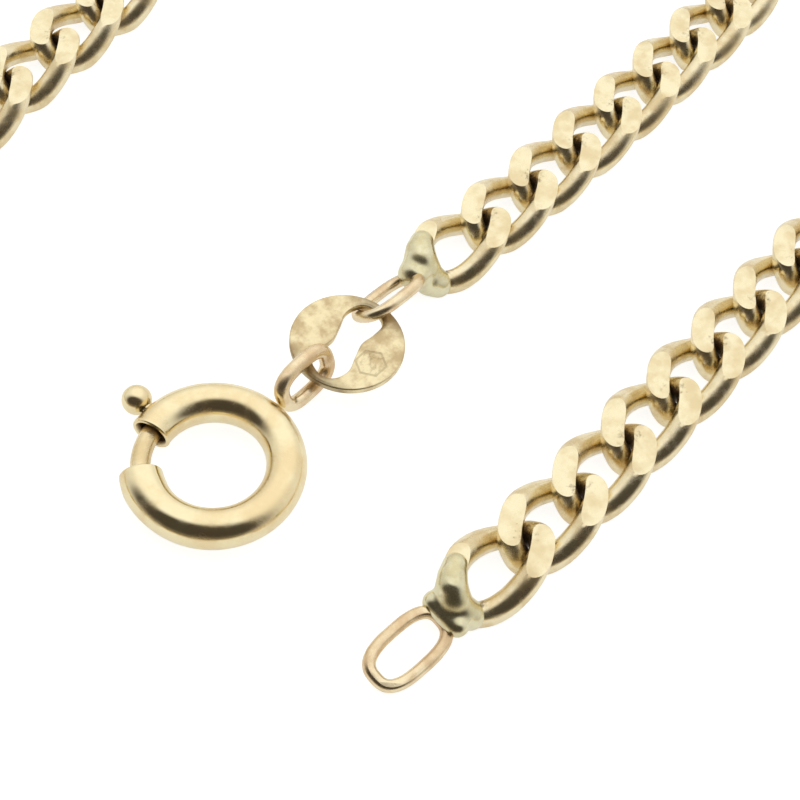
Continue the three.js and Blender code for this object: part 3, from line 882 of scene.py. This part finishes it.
def ball_profile():
    radius = BALL / 2
    first = math.asin(NECK / radius)
    profile = [(4.95, STEM), (5.0, STEM), (5.3, STEM)]
    profile.append((BALL_REACH - radius * math.cos(first) - 0.1, STEM * 1.05))
    steps = 30
    for step in range(steps):
        turn = first + (math.pi - first) * step / steps
        profile.append((BALL_REACH - radius * math.cos(turn), radius * math.sin(turn)))
    profile.append((BALL_REACH + radius, 0.01))
    return profile


place_piece("gold_thumb_ball", turned_part(ball_profile(), 48), ring_place, ring_gold,
            "tongue", ["bolt_ring_thumb_ball"])

SPRING_WIRE = 0.18
SPRING_COIL = 1.15
SPRING_TURNS = 8
SPRING_GAP = 3.0
STOP_ANGLE = 36.0
STOP_SPAN = 10.0


def spring_mesh():
    """A wire wound round the tube's middle line."""
    rings = []
    steps = SPRING_TURNS * 20
    start, end = TONGUE_TAIL - SPRING_GAP, STOP_ANGLE + SPRING_GAP

    def point(share):
        wind = 2 * math.pi * SPRING_TURNS * share
        outward = outward_at(start + (end - start) * share)
        lift = Vector((0, 0, SPRING_COIL / 2 * math.sin(wind)))
        return outward * (RING_RADIUS + SPRING_COIL / 2 * math.cos(wind)) + lift

    for step in range(steps + 1):
        share = step / steps
        middle = point(share)
        forward = (point(share + 0.001) - point(share - 0.001)).normalized()
        inward = forward.cross(outward_at(start) + Vector((0, 0, 0.3))).normalized()
        beside = forward.cross(inward)
        rings.append([middle + (inward * math.cos(s) + beside * math.sin(s)) * (SPRING_WIRE / 2)
                      for s in round_of(10)])
    return skin(rings)


place_piece("steel_spring", spring_mesh(), ring_place, spring_metal,
            "bolt_ring", ["bolt_ring_spring"])
stop_mesh = arc_wire(round_ended(STOP_ANGLE, STOP_ANGLE - STOP_SPAN, BORE / 2 - 0.1, 8, 4), 24)
place_piece("gold_spring_stop", stop_mesh, ring_place, tongue_gold, "bolt_ring", ["bolt_ring_spring_stop"])

# %% [markdown]
# ## The loops
#
# Three plain loops join the parts: one on the bolt ring, one at each end of the chain. They come
# from the same tree as the links, with no twist. The CAD nodes give each loop's middle; a loop
# points along the link it's soldered to, or away from the ring's centre, and rolls about its length.

# %% Bend the loops
def turned_at(place, heading):
    """A place on the table, turned to a heading in radians."""
    return Matrix.Translation(place) @ Matrix.Rotation(heading, 4, "Z")


def heading_of(start, end):
    return math.atan2(end.y - start.y, end.x - start.x)


LOOP_SQUARENESS = 2.8
clasp_rubs = link_rubs[link_nodes[0]]
tail_rubs = link_rubs[link_nodes[-1]]
clasp_heading = heading_of(clasp_rubs[0], clasp_rubs[1])
tail_heading = heading_of(tail_rubs[1], tail_rubs[0])
ring_loop_heading = heading_of(RING_CENTRE, middle_of("bolt_ring_loop"))
# Each loop: its CAD node, its length, width, wire and half height in mm, heading, roll and body.
LOOPS = [
    ("bolt_ring_loop", (4.9, 3.3, 0.95, 0.46), ring_loop_heading, 68, "bolt_ring"),
    ("clasp_end_loop", (5.3, 3.8, 0.8, 0.36), clasp_heading, -45, "link_01"),
    ("tail_end_loop", (5.9, 3.4, 0.78, 0.36), tail_heading, 12, link_nodes[-1]),
]
for node, sizes, heading, roll, body in LOOPS:
    place = turned_at(middle_of(node), heading) @ Matrix.Rotation(math.radians(roll), 4, "X")
    name = "gold_" + node.removeprefix("bolt_")
    place_piece(name, wire_loop(*sizes, LOOP_SQUARENESS), place, loop_gold, body, [node])

# %% [markdown]
# ## The plate link
#
# The plate is stamped from sheet: a round blank with an S-shaped opening, whose rim is rounded by
# tumbling. Every direction from its middle crosses the metal once, from the opening to the rim, so
# the plate is skinned from slices: each slice is a small rounded bar, and they follow one another
# round the middle.

# %% Stamp the plate
PLATE_LENGTH = 7.1
PLATE_WIDTH = 7.3
PLATE_THICKNESS = 0.5
PLATE_HEADING = 57.0
PLATE_OPENING = [(-2.95, -0.35), (-2.5, 0.7), (-1.5, 0.85), (-0.5, 0.75), (0.5, 1.1), (1.6, 1.5), (2.6, 1.2)]
RIM_ROUND = 0.12
TOP_CROWN = 0.05


def smooth_outline(corners, steps):
    """A closed Catmull-Rom curve through the corners."""
    points = [Vector((x, y, 0)) for x, y in corners]
    count = len(points)
    made = []
    for index in range(count):
        p0, p1, p2, p3 = (points[(index + shift) % count] for shift in (-1, 0, 1, 2))
        for step in range(steps):
            t = step / steps
            made.append(0.5 * (2 * p1 + (p2 - p0) * t + (2 * p0 - 5 * p1 + 4 * p2 - p3) * t**2
                               + (3 * p1 - p0 - 3 * p2 + p3) * t**3))
    return made


def plate_slices():
    opening = smooth_outline(PLATE_OPENING + [(-x, -y) for x, y in PLATE_OPENING], 16)
    half = PLATE_THICKNESS / 2
    across = [step / 14 for step in range(1, 14)]
    quarter = [math.pi / 2 * step / 4 for step in range(5)]
    corner = [(RIM_ROUND * (1 - math.sin(t)), half - RIM_ROUND * (1 - math.cos(t))) for t in quarter]
    slices = []
    for inner in opening:
        direction = inner.normalized()
        edge = 1 / math.hypot(direction.x / (PLATE_LENGTH / 2), direction.y / (PLATE_WIDTH / 2))
        near, far = inner.length, edge
        width = far - near
        start, run = near + RIM_ROUND, width - 2 * RIM_ROUND
        top = [(near + sunk, rise) for sunk, rise in reversed(corner)]
        top += [(start + run * s, half + TOP_CROWN * math.sin(math.pi * s)) for s in across]
        top += [(far - sunk, rise) for sunk, rise in corner]
        under = [(far - sunk, -rise) for sunk, rise in reversed(corner)]
        under += [(far - RIM_ROUND - run * s, -half) for s in across]
        under += [(near + sunk, -rise) for sunk, rise in corner]
        section = top + under
        slices.append([direction * reach + Vector((0, 0, up)) for reach, up in section])
    return slices


plate_place = turned_at(middle_of("plate_link"), math.radians(PLATE_HEADING))
place_piece("gold_plate_link", skin(plate_slices(), closed=True), plate_place, plate_gold,
            "plate_link", ["plate_link"])

# %% [markdown]
# ## Solder
#
# Silver solder is run over each joint while it's molten, so it pulls into a smooth neck that
# covers both wires. A good way to get that shape is to lay overlapping balls along the joint, fuse
# them with a fine voxel remesh, and smooth the result until the hollows fill. What hangs below the
# link's cut underside is pressed flat, as the maker files it level.

# %% Run the solder
def ball_mesh(centre, radius, squash):
    rings = []
    for step in range(1, 16):
        turn = math.pi * step / 16
        ring_radius = radius * math.sin(turn)
        level = Vector(centre) + Vector((0, 0, radius * squash * math.cos(turn)))
        rings.append([level + Vector((ring_radius * math.cos(s), ring_radius * math.sin(s), 0))
                      for s in round_of(24)])
    return skin(rings)


def run_together(balls, voxel, smoothing):
    """One smooth lump from overlapping balls, given as (centre, radius, squash)."""
    points, faces = [], []
    for centre, radius, squash in balls:
        part = ball_mesh(centre, radius, squash)
        if volume_of(part) < 0:
            part.flip_normals()
        faces += [tuple(index + len(points) for index in polygon.vertices) for polygon in part.polygons]
        points += [vertex.co.copy() for vertex in part.vertices]
    mesh = bpy.data.meshes.new("lump")
    mesh.from_pydata(points, [], faces)
    holder = bpy.data.objects.new("lump", mesh)
    bpy.context.scene.collection.objects.link(holder)
    remesh = holder.modifiers.new("fuse", "REMESH")
    remesh.mode = "VOXEL"
    remesh.voxel_size = voxel
    smooth = holder.modifiers.new("smooth", "SMOOTH")
    smooth.iterations = smoothing
    smooth.factor = 0.5
    depsgraph = bpy.context.evaluated_depsgraph_get()
    made = bpy.data.meshes.new_from_object(holder.evaluated_get(depsgraph))
    bpy.data.objects.remove(holder)
    for vertex in made.vertices:
        vertex.co.z = max(vertex.co.z, -LINK_HALF_HEIGHT)
    return made


def link_line(turn):
    """A point on the middle line of a curb link's wire, in the link's own frame."""
    def squared(value, size):
        return size * math.copysign(abs(value) ** (2 / LINK_SQUARENESS), value)
    x = squared(math.cos(turn), (LINK_LENGTH - LINK_WIRE) / 2)
    y = squared(math.sin(turn), (LINK_WIDTH - LINK_WIRE) / 2)
    lean = -math.radians(LINK_TWIST) * x / ((LINK_LENGTH - LINK_WIRE) / 2)
    return Vector((x, y * math.cos(lean), y * math.sin(lean)))


def along_end(*turns):
    """Points on the wire of a link's outer end: 180 is its very end, less is towards the raised facet."""
    return [link_line(math.radians(turn)) for turn in turns]


def clasp_balls():
    """A full bulb: it wraps the link's end and swallows the loop's inner end."""
    radii = (0.86, 1.0, 1.12, 1.18, 1.12, 1.0)
    wrap = [((point.x - 0.15, point.y, point.z + 0.12), radius, 1.0)
            for point, radius in zip(along_end(128, 143, 160, 178, 196, 214), radii)]
    end = -LINK_LENGTH / 2
    return wrap + [((end - 0.1, 0.2, 0.3), 1.1, 1.0), ((end - 0.2, -0.3, 0.5), 0.8, 1.0)]


def tail_balls():
    """A thin web: it fans out from the raised facet down to the loop's inner end."""
    radii = (0.82, 0.92, 1.0, 1.04, 1.04, 0.96)
    wrap = [((point.x - 0.06, point.y, point.z + 0.12), radius, 1.0)
            for point, radius in zip(along_end(122, 138, 155, 174, 194, 212), radii)]
    end = -LINK_LENGTH / 2
    web = [((end - 0.05, y, -0.15 + 0.1 * y), 0.78, 0.9) for y in (-0.9, -0.45, 0.0, 0.45, 0.9)]
    return wrap + web


def link_place(rubs, flipped=False):
    start, end = (rubs[1], rubs[0]) if flipped else (rubs[0], rubs[1])
    return turned_at((start + end) / 2, heading_of(start, end))


SOLDER_VOXEL = 0.09
SOLDER_SMOOTHING = 60
clasp_lump = run_together(clasp_balls(), SOLDER_VOXEL, SOLDER_SMOOTHING)
place_piece("clasp_solder", clasp_lump, link_place(clasp_rubs), solder_gold,
            "link_01", ["clasp_end_solder"], crisp=80)
tail_lump = run_together(tail_balls(), SOLDER_VOXEL, SOLDER_SMOOTHING)
place_piece("tail_solder", tail_lump, link_place(tail_rubs, flipped=True), solder_gold,
            link_nodes[-1], ["tail_end_solder"], crisp=80)

# %% [markdown]
# ## Light and table
#
# Polished metal has no look of its own: it shows what stands around it. On a bright table under a
# wide soft light, gold would turn out flat and pale, so a jeweller hangs a dark card in front of the
# piece before it is shown. Its reflection draws the dark bands that tell the eye how round the metal
# is. Here the world is that soft light, with the dark card as an oval patch in front.

# %% Light the scene
CARD_LIFT = math.radians(36)
CARD_TURN = math.radians(-6)
CARD_HALF_WIDTH = math.radians(70)
CARD_HALF_HEIGHT = math.radians(45)
LAMP_LIFT = math.radians(60)
CARD_DARK = (0.068, 0.058, 0.047, 1)
CARD_FOOT = (0.2, 0.17, 0.13, 1)
SKY_GLOW = (0.91, 0.9, 0.88, 1)
LAMP_GLOW = (1.16, 1.15, 1.13, 1)


def towards(turn, lift):
    """A direction: turn is to the right of straight in front, lift is above the table."""
    return Vector((math.sin(turn) * math.cos(lift), -math.cos(turn) * math.cos(lift), math.sin(lift)))


def make_world():
    world = bpy.data.worlds.new("soft_light")
    world.use_nodes = True
    tree = world.node_tree
    direction = add(tree, "ShaderNodeTexCoord").outputs["Generated"]
    front = towards(CARD_TURN, CARD_LIFT)
    side = Vector((math.cos(CARD_TURN), math.sin(CARD_TURN), 0))
    over = side.cross(-front)
    parts = [vector_calc(tree, "DOT_PRODUCT", direction, tuple(axis)) for axis in (side, over, front)]
    wide = calc(tree, "DIVIDE", parts[0], math.sin(CARD_HALF_WIDTH))
    tall = calc(tree, "DIVIDE", parts[1], math.sin(CARD_HALF_HEIGHT))
    reach = vector_calc(tree, "LENGTH", add(tree, "ShaderNodeCombineXYZ", {0: wide, 1: tall}).outputs[0])
    in_front = calc(tree, "GREATER_THAN", parts[2], 0.0)
    card = calc(tree, "MULTIPLY", ramp(tree, reach, 0.82, 1.14, 1.0, 0.0), in_front)
    up = add(tree, "ShaderNodeSeparateXYZ", {0: direction}).outputs[2]
    dark = blend(tree, ramp(tree, up, 0.1, 0.35), CARD_FOOT, CARD_DARK)
    lamp = vector_calc(tree, "DOT_PRODUCT", direction, tuple(towards(math.pi, LAMP_LIFT)))
    sky = blend(tree, ramp(tree, lamp, 0.55, 0.95), SKY_GLOW, LAMP_GLOW)
    glow = blend(tree, card, sky, dark)
    seen = add(tree, "ShaderNodeLightPath").outputs["Is Camera Ray"]
    tree.links.new(blend(tree, seen, glow, (1, 1, 1, 1)), tree.nodes["Background"].inputs["Color"])
    tree.nodes["Background"].inputs["Strength"].default_value = 1.0
    bpy.context.scene.world = world


make_world()
bpy.context.scene.view_settings.view_transform = "Standard"
print("world nodes:", len(bpy.context.scene.world.node_tree.nodes))


# %% Lay the table
# The table glows a little, so that it stays white to the camera, and less so in the gold.
TABLE_SEEN = 0.85
TABLE_MIRRORED = 0.62
TABLE_HALF_SIZE = 1.5
TABLE_DROP = 0.005 * MM


def make_table():
    size = TABLE_HALF_SIZE
    corners = [(-size, -size, 0), (size, -size, 0), (size, size, 0), (-size, size, 0)]
    mesh = bpy.data.meshes.new("table")
    mesh.from_pydata(corners, [], [(0, 1, 2, 3)])
    table = bpy.data.objects.new("table", mesh)
    table.location.z = -TABLE_DROP
    bpy.context.scene.collection.objects.link(table)
    paint = bpy.data.materials.new("white_table")
    paint.use_nodes = True
    shader = paint.node_tree.nodes["Principled BSDF"]
    shader.inputs["Base Color"].default_value = (0.45, 0.45, 0.44, 1)
    shader.inputs["Roughness"].default_value = 0.9
    shader.inputs["Emission Color"].default_value = (1, 1, 1, 1)
    tree = paint.node_tree
    seen = add(tree, "ShaderNodeLightPath").outputs["Is Camera Ray"]
    strength = calc(tree, "MULTIPLY_ADD", seen, TABLE_SEEN - TABLE_MIRRORED, TABLE_MIRRORED)
    tree.links.new(strength, shader.inputs["Emission Strength"])
    mesh.materials.append(paint)


make_table()
